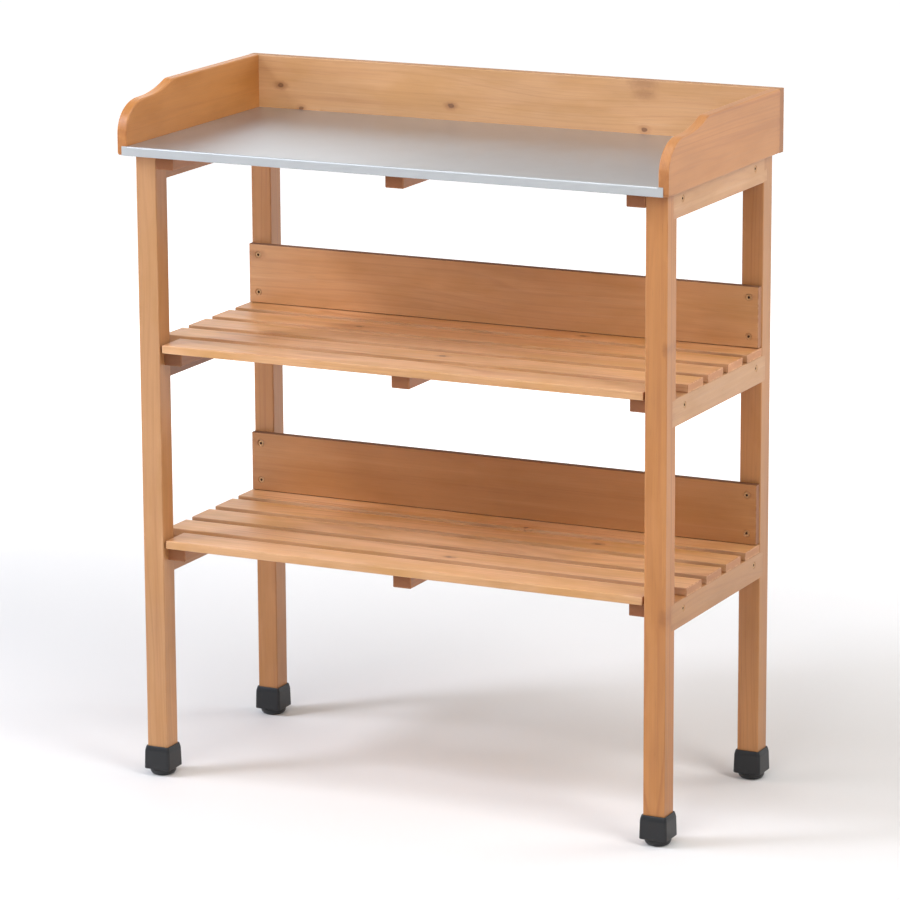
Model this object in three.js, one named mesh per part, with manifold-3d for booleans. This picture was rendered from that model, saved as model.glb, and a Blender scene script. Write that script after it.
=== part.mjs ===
// Three-tier wooden potting bench with a galvanised work top, in millimetres, +Z up.
// The origin is the middle of its footprint, on the floor. +X is the right end and -Y the front.
// Two end frames carry a tray and two slatted shelves, which are screwed to the frames' rails.
import * as THREE from 'three';
import { ConvexGeometry } from 'three/addons/geometries/ConvexGeometry.js';
import { mergeVertices } from 'three/addons/utils/BufferGeometryUtils.js';
import Module from 'manifold-3d';

const wasm = await Module();
wasm.setup();

// Driving dimensions.
const TRAY_WIDTH = 780;
const TRAY_DEPTH = 380;
const FRAME_WIDTH = 756;
const FRAME_FRONT = -163;
const FRAME_BACK = 183;
const LEG = 30;
const LEG_BOTTOM = 12.5;
const LEG_TOP = 847.5;

const RAIL_HEIGHT = 36;
const TENON = { length: 12, thickness: 10, height: 22 };
const JOINT_GAP = 0.25;

const SHELF_TOPS = { middle: 593, lower: 327.5 };
const SLAT = { thickness: 11, width: 50, pitch: 65.75, count: 5 };
const SLAT_FRONT = FRAME_FRONT + 2;
const FRONT_SLAT_GAP = 3;

const CLEAT_WIDTH = 26;
const SHELF_CLEAT = { height: 18, front: -150, back: 152 };
const TRAY_CLEAT = { height: 20, front: -163, back: 176 };

const BACK_BOARD = { thickness: 11, height: 82, endSetback: 1.5, lift: 0.5 };
const BACK_SCREW_INSET = 15;

const TRAY_BOARD = 14;
const TRAY_TOP = 932;
const WORK_TOP = 860;
const SHEET = 0.75;
const LIP_OVERLAP = 7;

const RAIL_SCREW = { length: 45, drop: 13, trayY: [-115, 124], shelfY: [-105, 133] };
const BACK_SCREW_LENGTH = 30;
const SCREW = { headRadius: 4, headHeight: 2.5, shankRadius: 2, tip: 4, sink: 0.5, recess: 1.5 };
const SCREW_SIDES = 16;

const CAP = { bottom: 9, top: 41, wall: 3.5, flare: 0.85, rimDrop: 5, rimIn: 1.75, corner: 4 };
const PAD = { flatRadius: 12, midRadius: 15.75, midHeight: 2, radius: 17.5, shoulder: 5.5 };
const PAD_SIDES = 32;

const SIDES = [
  { name: 'left', sign: -1 },
  { name: 'right', sign: 1 },
];
const ENDS = [
  { name: 'front', y: FRAME_FRONT + LEG / 2, inward: 1 },
  { name: 'back', y: FRAME_BACK - LEG / 2, inward: -1 },
];
const LEG_X = (FRAME_WIDTH - LEG) / 2;
const RAIL_TOPS = {
  top: LEG_TOP,
  middle: SHELF_TOPS.middle - SLAT.thickness,
  lower: SHELF_TOPS.lower - SLAT.thickness,
};

const bench = new THREE.Group();

// Materials.
function wood() {
  return new THREE.MeshStandardMaterial({ color: 0xcf9a6a, roughness: 0.6, metalness: 0 });
}

function galvanised() {
  return new THREE.MeshStandardMaterial({ color: 0xb9bcbe, roughness: 0.4, metalness: 0.9 });
}

function blackPlastic() {
  return new THREE.MeshStandardMaterial({ color: 0x2d2e30, roughness: 0.55, metalness: 0 });
}

function zincPlated() {
  return new THREE.MeshStandardMaterial({ color: 0x8d8a82, roughness: 0.45, metalness: 1 });
}

// Geometry helpers.
function box(x0, x1, y0, y1, z0, z1) {
  const geometry = new THREE.BoxGeometry(x1 - x0, y1 - y0, z1 - z0);
  return geometry.translate((x0 + x1) / 2, (y0 + y1) / 2, (z0 + z1) / 2);
}

function mirroredBox(sign, x0, x1, y0, y1, z0, z1) {
  return box(Math.min(sign * x0, sign * x1), Math.max(sign * x0, sign * x1), y0, y1, z0, z1);
}

function solid(geometry) {
  const bare = geometry.clone();
  bare.deleteAttribute('normal');
  bare.deleteAttribute('uv');
  const merged = mergeVertices(bare, 1e-3);
  const index = merged.index.array;
  const triangles = [];
  for (let i = 0; i < index.length; i += 3) {
    const [a, b, c] = [index[i], index[i + 1], index[i + 2]];
    if (a !== b && b !== c && c !== a) {
      triangles.push(a, b, c);
    }
  }
  const mesh = new wasm.Mesh({
    numProp: 3,
    vertProperties: new Float32Array(merged.attributes.position.array),
    triVerts: new Uint32Array(triangles),
  });
  return new wasm.Manifold(mesh);
}

function surface(body) {
  const mesh = body.getMesh();
  const geometry = new THREE.BufferGeometry();
  geometry.setAttribute('position', new THREE.BufferAttribute(mesh.vertProperties, 3));
  geometry.setIndex(new THREE.BufferAttribute(mesh.triVerts, 1));
  geometry.computeVertexNormals();
  return geometry;
}

function cut(geometry, cutters) {
  let body = solid(geometry);
  for (const cutter of cutters) {
    body = body.subtract(solid(cutter));
  }
  return surface(body);
}

function join(geometries) {
  let body = solid(geometries[0]);
  for (const geometry of geometries.slice(1)) {
    body = body.add(solid(geometry));
  }
  return surface(body);
}

function addPart(name, geometry, material) {
  const mesh = new THREE.Mesh(geometry, material);
  mesh.name = name;
  bench.add(mesh);
}

// A countersunk wood screw about +Y: its head is at the origin and its tip at -length. With clearance it
// is the pilot hole and countersink instead, which stands a little above the head so that it cuts through.
function screwShape(length, clearance) {
  const head = SCREW.headRadius + clearance;
  const shank = SCREW.shankRadius + clearance;
  const over = clearance > 0 ? SCREW.sink + 1 : 0;
  const profile = [
    new THREE.Vector2(0, -length - clearance),
    new THREE.Vector2(shank, -length + SCREW.tip - clearance),
    new THREE.Vector2(shank, -SCREW.headHeight - clearance),
    new THREE.Vector2(head, -clearance),
  ];
  if (over > 0) {
    profile.push(new THREE.Vector2(head, over));
  }
  profile.push(new THREE.Vector2(0, over));
  return new THREE.LatheGeometry(profile, SCREW_SIDES);
}

// The cross recess in the head: two crossed slots.
function screw(length) {
  const long = SCREW.headRadius * 0.55;
  const narrow = SCREW.headRadius * 0.14;
  const slots = [
    box(-long, long, -SCREW.recess, 1, -narrow, narrow),
    box(-narrow, narrow, -SCREW.recess, 1, -long, long),
  ];
  return cut(screwShape(length, 0), slots);
}

// Turns a shape whose axis is +Y so that its head looks along `facing`, with the head at `place`.
function aim(geometry, facing, place) {
  const turn = new THREE.Quaternion().setFromUnitVectors(new THREE.Vector3(0, 1, 0), facing);
  return geometry.applyQuaternion(turn).translate(place.x, place.y, place.z);
}

// Where the screws go. Rail screws run inward through a rail into a cleat.
function railScrewPlaces(level, sign) {
  const places = level === 'top' ? RAIL_SCREW.trayY : RAIL_SCREW.shelfY;
  const x = sign * (FRAME_WIDTH / 2 - SCREW.sink);
  return places.map((y) => new THREE.Vector3(x, y, RAIL_TOPS[level] - RAIL_SCREW.drop));
}

function railScrewHoles(level, sign) {
  const facing = new THREE.Vector3(sign, 0, 0);
  return railScrewPlaces(level, sign).map((place) => aim(screwShape(RAIL_SCREW.length, JOINT_GAP), facing, place));
}

// Shelf back board screws run backward through the board into a back leg.
function backBoardBottom(level) {
  return SHELF_TOPS[level] + BACK_BOARD.lift;
}

function backScrewPlaces(level, sign) {
  const y = FRAME_BACK - LEG - BACK_BOARD.thickness + SCREW.sink;
  const bottom = backBoardBottom(level);
  const heights = [bottom + BACK_SCREW_INSET, bottom + BACK_BOARD.height - BACK_SCREW_INSET];
  return heights.map((z) => new THREE.Vector3(sign * LEG_X, y, z));
}

function backScrewHoles(level, sign) {
  const facing = new THREE.Vector3(0, -1, 0);
  return backScrewPlaces(level, sign).map((place) => aim(screwShape(BACK_SCREW_LENGTH, JOINT_GAP), facing, place));
}

// End frames: four legs with mortises for the rails' tenons.
function mortise(sign, end, top) {
  const face = end.y + (end.inward * LEG) / 2;
  const depth = TENON.length + JOINT_GAP;
  const y0 = Math.min(face + end.inward, face - end.inward * depth);
  const y1 = Math.max(face + end.inward, face - end.inward * depth);
  const halfX = TENON.thickness / 2 + JOINT_GAP;
  const halfZ = TENON.height / 2 + JOINT_GAP;
  const z = top - RAIL_HEIGHT / 2;
  return box(sign * LEG_X - halfX, sign * LEG_X + halfX, y0, y1, z - halfZ, z + halfZ);
}

function addLegs() {
  for (const side of SIDES) {
    for (const end of ENDS) {
      const x = side.sign * LEG_X;
      const blank = box(x - LEG / 2, x + LEG / 2, end.y - LEG / 2, end.y + LEG / 2, LEG_BOTTOM, LEG_TOP);
      const cutters = Object.values(RAIL_TOPS).map((top) => mortise(side.sign, end, top));
      if (end.name === 'back') {
        cutters.push(...backScrewHoles('middle', side.sign), ...backScrewHoles('lower', side.sign));
      }
      addPart(`leg_${end.name}_${side.name}`, cut(blank, cutters), wood());
    }
  }
}

// Side rails between the legs, as thick as the legs, with a tenon at each end.
function addRails() {
  const front = FRAME_FRONT + LEG;
  const back = FRAME_BACK - LEG;
  for (const [level, top] of Object.entries(RAIL_TOPS)) {
    for (const side of SIDES) {
      const x = side.sign * LEG_X;
      const z = top - RAIL_HEIGHT / 2;
      const body = box(x - LEG / 2, x + LEG / 2, front, back, top - RAIL_HEIGHT, top);
      const tenons = box(
        x - TENON.thickness / 2,
        x + TENON.thickness / 2,
        front - TENON.length,
        back + TENON.length,
        z - TENON.height / 2,
        z + TENON.height / 2,
      );
      addPart(`rail_${level}_${side.name}`, cut(join([body, tenons]), railScrewHoles(level, side.sign)), wood());
    }
  }
}

// Cleats run front to back under the slats or the tray: one along each end frame and one in the middle.
function addCleats(prefix, level, cleat) {
  const top = RAIL_TOPS[level];
  const outer = LEG_X - LEG / 2;
  for (const side of SIDES) {
    const bar = mirroredBox(side.sign, outer - CLEAT_WIDTH, outer, cleat.front, cleat.back, top - cleat.height, top);
    addPart(`${prefix}_cleat_${side.name}`, cut(bar, railScrewHoles(level, side.sign)), wood());
  }
  const middle = box(-CLEAT_WIDTH / 2, CLEAT_WIDTH / 2, cleat.front, cleat.back, top - cleat.height, top);
  addPart(`${prefix}_cleat_center`, middle, wood());
}

// Shelf slats: the front one fits between the front legs, the others lie across both end frames.
function addSlats(level) {
  const top = SHELF_TOPS[level];
  for (let i = 0; i < SLAT.count; i += 1) {
    const half = i === 0 ? FRAME_WIDTH / 2 - LEG - FRONT_SLAT_GAP : FRAME_WIDTH / 2;
    const front = SLAT_FRONT + i * SLAT.pitch;
    const slat = box(-half, half, front, front + SLAT.width, top - SLAT.thickness, top);
    addPart(`${level}_shelf_slat_${i + 1}`, slat, wood());
  }
}

function addBackBoard(level) {
  const half = FRAME_WIDTH / 2 - BACK_BOARD.endSetback;
  const back = FRAME_BACK - LEG;
  const bottom = backBoardBottom(level);
  const board = box(-half, half, back - BACK_BOARD.thickness, back, bottom, bottom + BACK_BOARD.height);
  const holes = SIDES.flatMap((side) => backScrewHoles(level, side.sign));
  addPart(`${level}_shelf_back_board`, cut(board, holes), wood());
}

// Outline of a tray side board, seen from its side: a quarter round at the front, then a hollow sweep up to
// the full height.
function sideBoardOutline(front, back) {
  const round = { x: 52.25, z: 41, centre: 876 };
  const sweep = { bend: 37, end: 69, endDrop: 2.5 };
  const shoulder = { bend: 5, end: 12 };
  const corner = 4;
  const roundEnd = front + round.x;
  const outline = new THREE.Shape();
  outline.moveTo(back, LEG_TOP);
  outline.lineTo(back, TRAY_TOP);
  outline.lineTo(roundEnd + sweep.end + shoulder.end, TRAY_TOP);
  outline.quadraticCurveTo(
    roundEnd + sweep.end + shoulder.bend,
    TRAY_TOP,
    roundEnd + sweep.end,
    TRAY_TOP - sweep.endDrop,
  );
  outline.quadraticCurveTo(
    roundEnd + sweep.bend,
    round.centre + round.z,
    roundEnd,
    round.centre + round.z,
  );
  outline.absellipse(roundEnd, round.centre, round.x, round.z, Math.PI / 2, Math.PI, false, 0);
  outline.lineTo(front, LEG_TOP + corner);
  outline.absarc(front + corner, LEG_TOP + corner, corner, Math.PI, 1.5 * Math.PI, false);
  return outline;
}

// The extrusion's own x, y and z become the bench's y, z and x.
function addTraySides(front, back) {
  for (const side of SIDES) {
    const board = new THREE.ExtrudeGeometry(sideBoardOutline(front, back), {
      depth: TRAY_BOARD,
      bevelEnabled: false,
      curveSegments: 10,
    });
    board.rotateX(Math.PI / 2).rotateZ(Math.PI / 2);
    const inner = TRAY_WIDTH / 2 - TRAY_BOARD;
    board.translate(side.sign > 0 ? inner : -TRAY_WIDTH / 2, 0, 0);
    addPart(`tray_side_${side.name}`, board, wood());
  }
}

// Tray: back board, two side boards, a base panel and the sheet folded down over its front edge.
function addTray() {
  const front = -TRAY_DEPTH / 2;
  const back = TRAY_DEPTH / 2;
  const boardFront = back - TRAY_BOARD;
  const inner = TRAY_WIDTH / 2 - TRAY_BOARD;
  const sheetHalf = inner - JOINT_GAP;
  const panelTop = WORK_TOP - SHEET;
  const lipHalf = inner + LIP_OVERLAP;
  addTraySides(front + SHEET, boardFront);
  addPart(
    'tray_back_board',
    box(-TRAY_WIDTH / 2, TRAY_WIDTH / 2, boardFront, back, LEG_TOP, TRAY_TOP),
    wood(),
  );
  addPart('tray_base_panel', box(-inner, inner, front + SHEET, boardFront, LEG_TOP, panelTop), wood());
  const plate = box(-sheetHalf, sheetHalf, front, boardFront, panelTop, WORK_TOP);
  const lip = box(-lipHalf, lipHalf, front, front + SHEET, LEG_TOP, WORK_TOP);
  addPart('metal_top_sheet', join([plate, lip]), galvanised());
}

// Screws.
function addRailScrews() {
  for (const level of Object.keys(RAIL_TOPS)) {
    for (const side of SIDES) {
      railScrewPlaces(level, side.sign).forEach((place, i) => {
        const shape = aim(screw(RAIL_SCREW.length), new THREE.Vector3(side.sign, 0, 0), place);
        addPart(`screw_rail_${level}_${side.name}_${ENDS[i].name}`, shape, zincPlated());
      });
    }
  }
}

function addBackBoardScrews() {
  for (const level of Object.keys(SHELF_TOPS)) {
    for (const side of SIDES) {
      backScrewPlaces(level, side.sign).forEach((place, i) => {
        const shape = aim(screw(BACK_SCREW_LENGTH), new THREE.Vector3(0, -1, 0), place);
        const height = i === 0 ? 'low' : 'high';
        addPart(`screw_back_board_${level}_${side.name}_${height}`, shape, zincPlated());
      });
    }
  }
}

// Foot caps: a square sleeve that flares slightly towards the floor, closed by a round pad.
function roundedSquareRing(half, radius, z) {
  const steps = 4;
  const points = [];
  for (let corner = 0; corner < 4; corner += 1) {
    const centre = (corner + 0.5) * (Math.PI / 2);
    const cx = Math.sign(Math.cos(centre)) * (half - radius);
    const cy = Math.sign(Math.sin(centre)) * (half - radius);
    for (let i = 0; i <= steps; i += 1) {
      const angle = (corner + i / steps) * (Math.PI / 2);
      points.push(new THREE.Vector3(cx + radius * Math.cos(angle), cy + radius * Math.sin(angle), z));
    }
  }
  return points;
}

function footCap() {
  const half = LEG / 2 + CAP.wall;
  const sleeve = new ConvexGeometry([
    ...roundedSquareRing(half + CAP.flare, CAP.corner, CAP.bottom),
    ...roundedSquareRing(half, CAP.corner, CAP.top - CAP.rimDrop),
    ...roundedSquareRing(half - CAP.rimIn, CAP.corner - CAP.rimIn, CAP.top),
  ]);
  const pad = new THREE.LatheGeometry(
    [
      new THREE.Vector2(0, 0),
      new THREE.Vector2(PAD.flatRadius, 0),
      new THREE.Vector2(PAD.midRadius, PAD.midHeight),
      new THREE.Vector2(PAD.radius, PAD.shoulder),
      new THREE.Vector2(PAD.radius, CAP.bottom + 1),
      new THREE.Vector2(0, CAP.bottom + 1),
    ],
    PAD_SIDES,
  ).rotateX(Math.PI / 2);
  const socket = LEG / 2 + JOINT_GAP;
  const hollow = box(-socket, socket, -socket, socket, LEG_BOTTOM, CAP.top + 1);
  return cut(join([sleeve, pad]), [hollow]);
}

function addFootCaps() {
  for (const side of SIDES) {
    for (const end of ENDS) {
      const cap = footCap().translate(side.sign * LEG_X, end.y, 0);
      addPart(`foot_cap_${end.name}_${side.name}`, cap, blackPlastic());
    }
  }
}

addLegs();
addRails();
addFootCaps();
for (const level of Object.keys(SHELF_TOPS)) {
  addCleats(`${level}_shelf`, level, SHELF_CLEAT);
  addSlats(level);
  addBackBoard(level);
}
addCleats('tray', 'top', TRAY_CLEAT);
addTray();
addRailScrews();
addBackBoardScrews();

export default bench;
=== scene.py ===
"""Looks of the potting bench: stained softwood, galvanised sheet, black foot caps and zinc screws."""
import math

import bmesh
import bpy
from mathutils import Matrix, Vector, noise


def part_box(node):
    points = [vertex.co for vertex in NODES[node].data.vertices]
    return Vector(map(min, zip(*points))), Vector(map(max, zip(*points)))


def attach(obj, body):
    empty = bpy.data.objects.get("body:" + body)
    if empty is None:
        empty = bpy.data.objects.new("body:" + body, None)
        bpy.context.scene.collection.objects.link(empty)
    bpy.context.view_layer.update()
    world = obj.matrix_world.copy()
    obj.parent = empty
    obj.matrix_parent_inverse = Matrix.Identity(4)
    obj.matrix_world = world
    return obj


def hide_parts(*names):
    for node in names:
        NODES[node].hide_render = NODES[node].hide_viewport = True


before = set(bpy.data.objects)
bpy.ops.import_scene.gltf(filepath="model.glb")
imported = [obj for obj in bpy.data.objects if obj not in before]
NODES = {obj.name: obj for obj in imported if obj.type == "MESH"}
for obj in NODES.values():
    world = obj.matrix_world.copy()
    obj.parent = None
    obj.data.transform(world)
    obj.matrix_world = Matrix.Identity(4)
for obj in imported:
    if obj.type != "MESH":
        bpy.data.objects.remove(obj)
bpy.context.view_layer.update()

MM = 0.001
TINY = 1e-6
UP = Vector((0, 0, 1))
ORIGIN = Vector((0, 0, 0))
WHITE = (1, 1, 1, 1)


# ---------------------------------------------------------------- node helpers

# The Mix node's sockets that hold colours.
MIX_COLOUR_A = 6
MIX_COLOUR_B = 7
MIX_COLOUR_OUT = 2


class Nodes:
    """A short way to write a node tree."""

    def __init__(self, tree):
        self.tree = tree

    def add(self, kind, **settings):
        node = self.tree.nodes.new(kind)
        for key, value in settings.items():
            setattr(node, key, value)
        return node

    def feed(self, socket, value):
        """Links a socket to a value that is another socket, or sets it to one that isn't."""
        if isinstance(value, bpy.types.NodeSocket):
            self.tree.links.new(value, socket)
        elif value is not None:
            socket.default_value = value

    def math(self, operation, a, b=None):
        node = self.add("ShaderNodeMath", operation=operation)
        self.feed(node.inputs[0], a)
        self.feed(node.inputs[1], b)
        return node.outputs[0]

    def vector(self, operation, a, b=None, scale=None):
        node = self.add("ShaderNodeVectorMath", operation=operation)
        self.feed(node.inputs[0], a)
        self.feed(node.inputs[1], b)
        if scale is not None:  # the socket is only there for SCALE
            self.feed(node.inputs["Scale"], scale)
        return node.outputs["Value" if operation == "LENGTH" else "Vector"]

    def place(self):
        """Where the surface is in its object, which is never moved, so in the bench's own frame."""
        return self.add("ShaderNodeTexCoord").outputs["Object"]

    def split(self, vector):
        node = self.add("ShaderNodeSeparateXYZ")
        self.feed(node.inputs[0], vector)
        return node.outputs[0], node.outputs[1], node.outputs[2]

    def combine(self, x, y, z):
        node = self.add("ShaderNodeCombineXYZ")
        for socket, value in zip(node.inputs, (x, y, z)):
            self.feed(socket, value)
        return node.outputs[0]

    def noise(self, vector, scale, detail=2.0, roughness=0.5):
        node = self.add("ShaderNodeTexNoise")
        self.feed(node.inputs["Vector"], vector)
        self.feed(node.inputs["Scale"], scale)
        self.feed(node.inputs["Detail"], detail)
        self.feed(node.inputs["Roughness"], roughness)
        return node.outputs["Fac"]

    def stretched_noise(self, vector, stretch, detail, roughness=0.5):
        """Noise with its own scale along each axis."""
        return self.noise(self.vector("MULTIPLY", vector, stretch), 1.0, detail, roughness)

    def noise_vector(self, vector, scale):
        """Three noises at once, each about zero."""
        node = self.add("ShaderNodeTexNoise")
        self.feed(node.inputs["Vector"], vector)
        self.feed(node.inputs["Scale"], scale)
        return self.vector("SUBTRACT", node.outputs["Color"], (0.5, 0.5, 0.5))

    def ramp(self, value, low, high, out_low=0.0, out_high=1.0, kind="SMOOTHSTEP"):
        node = self.add("ShaderNodeMapRange", interpolation_type=kind)
        self.feed(node.inputs["Value"], value)
        self.feed(node.inputs["From Min"], low)
        self.feed(node.inputs["From Max"], high)
        self.feed(node.inputs["To Min"], out_low)
        self.feed(node.inputs["To Max"], out_high)
        return node.outputs["Result"]

    def mix(self, factor, a, b, blend="MIX"):
        node = self.add("ShaderNodeMix", data_type="RGBA", blend_type=blend)
        self.feed(node.inputs["Factor"], factor)
        self.feed(node.inputs[MIX_COLOUR_A], a)
        self.feed(node.inputs[MIX_COLOUR_B], b)
        return node.outputs[MIX_COLOUR_OUT]

    def show(self, colour, other, amount, strength):
        """Lets another colour show through where the amount is high, up to a strength."""
        return self.mix(self.math("MULTIPLY", amount, strength), colour, other)

    def bump(self, shader, height, strength, distance):
        node = self.add("ShaderNodeBump")
        node.inputs["Strength"].default_value = strength
        node.inputs["Distance"].default_value = distance
        self.feed(node.inputs["Height"], height)
        self.feed(shader.inputs["Normal"], node.outputs["Normal"])


def new_material(name):
    material = bpy.data.materials.new(name)
    material.use_nodes = True
    nodes = Nodes(material.node_tree)
    shader = material.node_tree.nodes["Principled BSDF"]
    return material, nodes, shader


# ---------------------------------------------------------------- camera, floor and light

# Where the camera stands, in metres from the bench's origin, and how it is turned, in degrees.
CAMERA_PLACE = Vector((2.5719, -5.2923, 1.8301))
CAMERA_YAW = 25.94
CAMERA_PITCH = -13.19
CAMERA_ROLL = -0.30
FRAME_PIXELS = 900
FOCAL_PIXELS = 4572.6
SENSOR_MM = 36.0
CAMERA_REACH = 100

FLOOR_HALF = 30
FLOOR_COLOUR = (0.81, 0.78, 0.745, 1)
# The floor glows outside a circle, from nothing at its rim to this much at the end of the fade.
COVE_MIDDLE = (0, -3, 0)
COVE_RADIUS = 3.4
COVE_FADE = 2.2
COVE_GLOW = 0.88

# How bright the room is to the right and at the back; it is dark on the other sides and overhead.
ROOM_RIGHT = 0.05
ROOM_BACK = 0.95

COOL = (0.92, 1.0, 1.17)
PLAIN = (0.98, 1.0, 1.03)

# Soft boxes: place, what they face, size in metres, power in watts and colour.
SOFT_BOXES = {
    "key": ((-2.6, -2.0, 3.3), (0, 0, 0.6), 0.8, 63, COOL),
    "left": ((-3.0, -1.2, 1.6), (0, 0, 0.5), 1.5, 56, COOL),
    "front": ((0.2, -4.0, 2.6), (0, 0, 0.5), 2.0, 71, PLAIN),
    "right": ((2.7, -1.0, 2.8), (0, 0, 0.5), 1.5, 58, PLAIN),
    "back_right": ((2.5, 1.8, 1.8), (0, 0, 0.5), 1.5, 27, PLAIN),
    "back_left": ((-2.2, 2.6, 2.0), (0, 0, 0.5), 1.5, 8, PLAIN),
    "over": ((0.0, -0.3, 3.2), (0, 0, 0.5), 1.5, 34, PLAIN),
}


def add_camera():
    data = bpy.data.cameras.new("camera")
    data.sensor_width = SENSOR_MM
    data.lens = SENSOR_MM * FOCAL_PIXELS / FRAME_PIXELS
    data.clip_end = CAMERA_REACH
    camera = bpy.data.objects.new("camera", data)
    turn = Matrix.Rotation(math.radians(CAMERA_YAW), 4, "Z")
    tilt = Matrix.Rotation(math.radians(90 + CAMERA_PITCH), 4, "X")
    roll = Matrix.Rotation(math.radians(CAMERA_ROLL), 4, "Z")
    camera.matrix_world = Matrix.Translation(CAMERA_PLACE) @ turn @ tilt @ roll
    bpy.context.scene.collection.objects.link(camera)
    bpy.context.scene.camera = camera


def add_room():
    """A room whose brightness grows with the square of how far one looks to the right or the back."""
    world = bpy.data.worlds.new("studio")
    world.use_nodes = True
    n = Nodes(world.node_tree)
    background = world.node_tree.nodes["Background"]
    background.inputs["Color"].default_value = WHITE
    x, y, _ = n.split(n.add("ShaderNodeTexCoord").outputs["Generated"])
    level = 0.0
    for part, brightness in ((x, ROOM_RIGHT), (y, ROOM_BACK)):
        toward = n.math("MAXIMUM", part, 0.0)
        squared = n.math("MULTIPLY", toward, toward)
        level = n.math("ADD", level, n.math("MULTIPLY", squared, brightness))
    n.feed(background.inputs["Strength"], level)
    bpy.context.scene.world = world
    bpy.context.scene.view_settings.view_transform = "Standard"


def floor_material():
    """A pale floor that glows where it would curve up behind the bench, as a lit studio cove does."""
    material, n, shader = new_material("floor")
    shader.inputs["Base Color"].default_value = FLOOR_COLOUR
    shader.inputs["Roughness"].default_value = 0.9
    shader.inputs["Specular IOR Level"].default_value = 0.2
    shader.inputs["Emission Color"].default_value = WHITE
    away = n.vector("LENGTH", n.vector("SUBTRACT", n.place(), COVE_MIDDLE))
    glow = n.ramp(away, COVE_RADIUS, COVE_RADIUS + COVE_FADE, 0.0, COVE_GLOW)
    n.feed(shader.inputs["Emission Strength"], glow)
    return material


def add_floor():
    mesh = bpy.data.meshes.new("floor")
    signs = ((-1, -1), (1, -1), (1, 1), (-1, 1))
    corners = [(x * FLOOR_HALF, y * FLOOR_HALF, 0) for x, y in signs]
    mesh.from_pydata(corners, [], [(0, 1, 2, 3)])
    mesh.materials.append(floor_material())
    floor = link("floor", mesh)


def add_soft_box(name, place, target, size, power, colour):
    data = bpy.data.lights.new(name, "AREA")
    data.shape = "SQUARE"
    data.size = size
    data.energy = power
    data.color = colour
    light = bpy.data.objects.new(name, data)
    light.location = place
    light.rotation_euler = (Vector(target) - Vector(place)).to_track_quat("-Z", "Y").to_euler()
    bpy.context.scene.collection.objects.link(light)


# ---------------------------------------------------------------- wood

# The wood's colours, linear.
EARLY_WOOD = (0.530, 0.268, 0.110, 1)
LATE_WOOD = (0.360, 0.140, 0.049, 1)
HONEY_WOOD = (0.440, 0.202, 0.052, 1)
PALE_WOOD = (0.620, 0.355, 0.185, 1)
END_GRAIN = (0.280, 0.098, 0.030, 1)
KNOT_HEART = (0.175, 0.062, 0.017, 1)
KNOT_RIM = (0.085, 0.029, 0.009, 1)
STAIN = (0.240, 0.086, 0.025, 1)
# The narrow faces' colour: partly a sawn finish, partly painted shade on the back boards' top edges and
# the slats' front faces.
SAWN_AND_SHADED_FACE = (0.120, 0.050, 0.026, 1)

# How strongly the marks show where they are at their strongest.
LATE_SHOWS = 0.48
STREAK_SHOWS = 0.55
NEAR_END_SHOWS = 0.30
END_SHOWS = 0.78
RUBBED_SHOWS = 0.40
SWIRL_SHOWS = 0.42
STAIN_SHOWS = 0.48
HEART_SHOWS = 0.85
RIM_SHOWS = 0.45

# How much the fibres, blotches and pores change the lightness.
FIBRE_LIGHT = 0.20
BLOTCH_LIGHT = 0.36
PORE_LIGHT = 0.14
# How much green a board's warmth takes away, as a share of the blue that it takes.
WARMTH_IN_GREEN = 0.40

# Scales of the wood's noises: along the grain, across it and through the board.
RING_WANDER = (1.5, 8.0, 8.0)
RING_PATCHES = (1.3, 16.0, 16.0)
FIBRES = (6.0, 750.0, 750.0)
PORES = (45.0, 1500.0, 1500.0)
STREAKS = (2.0, 85.0, 85.0)
BLOTCHES = (5.0, 13.0, 13.0)
HONEY_PATCHES = (7.0, 24.0, 24.0)
HONEY_SHIFT = (3.1, 7.7, 1.9)
RUBBED_PATCHES = (22.0, 150.0, 150.0)

# Growth rings: how far they wander and how far they bend round a knot, in metres, and their noise's scale.
RING_DRIFT = 0.045
RING_BEND = 0.006
RING_SCALE = 330.0

KNOT_SLOTS = 4
STAIN_SLOTS = 4
KNOT_SQUASH = 0.70
STAIN_SQUASH = 0.45
LEAST_RADIUS = 0.00001

WOOD_COAT = 0.40
WOOD_COAT_ROUGHNESS = 0.40
WOOD_BUMP = 0.0004
WOOD_BUMP_STRENGTH = 0.30

VECTOR_INPUTS = (
    ["Place", "Half", "Seed", "Heart"]
    + [f"Knot {i + 1}" for i in range(KNOT_SLOTS)]
    + [f"Stain {i + 1}" for i in range(STAIN_SLOTS)]
)
NUMBER_INPUTS = ["Tone", "Warmth", "Honey", "Lines", "Sawn and shade", "Ends"]
NUMBER_OUTPUTS = ["Roughness", "Height", "Coat"]


def spot_distance(n, x, y, spot, squash):
    """How far the place is from a spot, in the spot's own radii, and the spot's radius."""
    spot_x, spot_y, radius = n.split(spot)
    along = n.math("MULTIPLY", n.math("SUBTRACT", x, spot_x), squash)
    across = n.math("SUBTRACT", y, spot_y)
    far = n.vector("LENGTH", n.combine(along, across, 0.0))
    return n.math("DIVIDE", far, n.math("MAXIMUM", radius, LEAST_RADIUS)), radius


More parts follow.
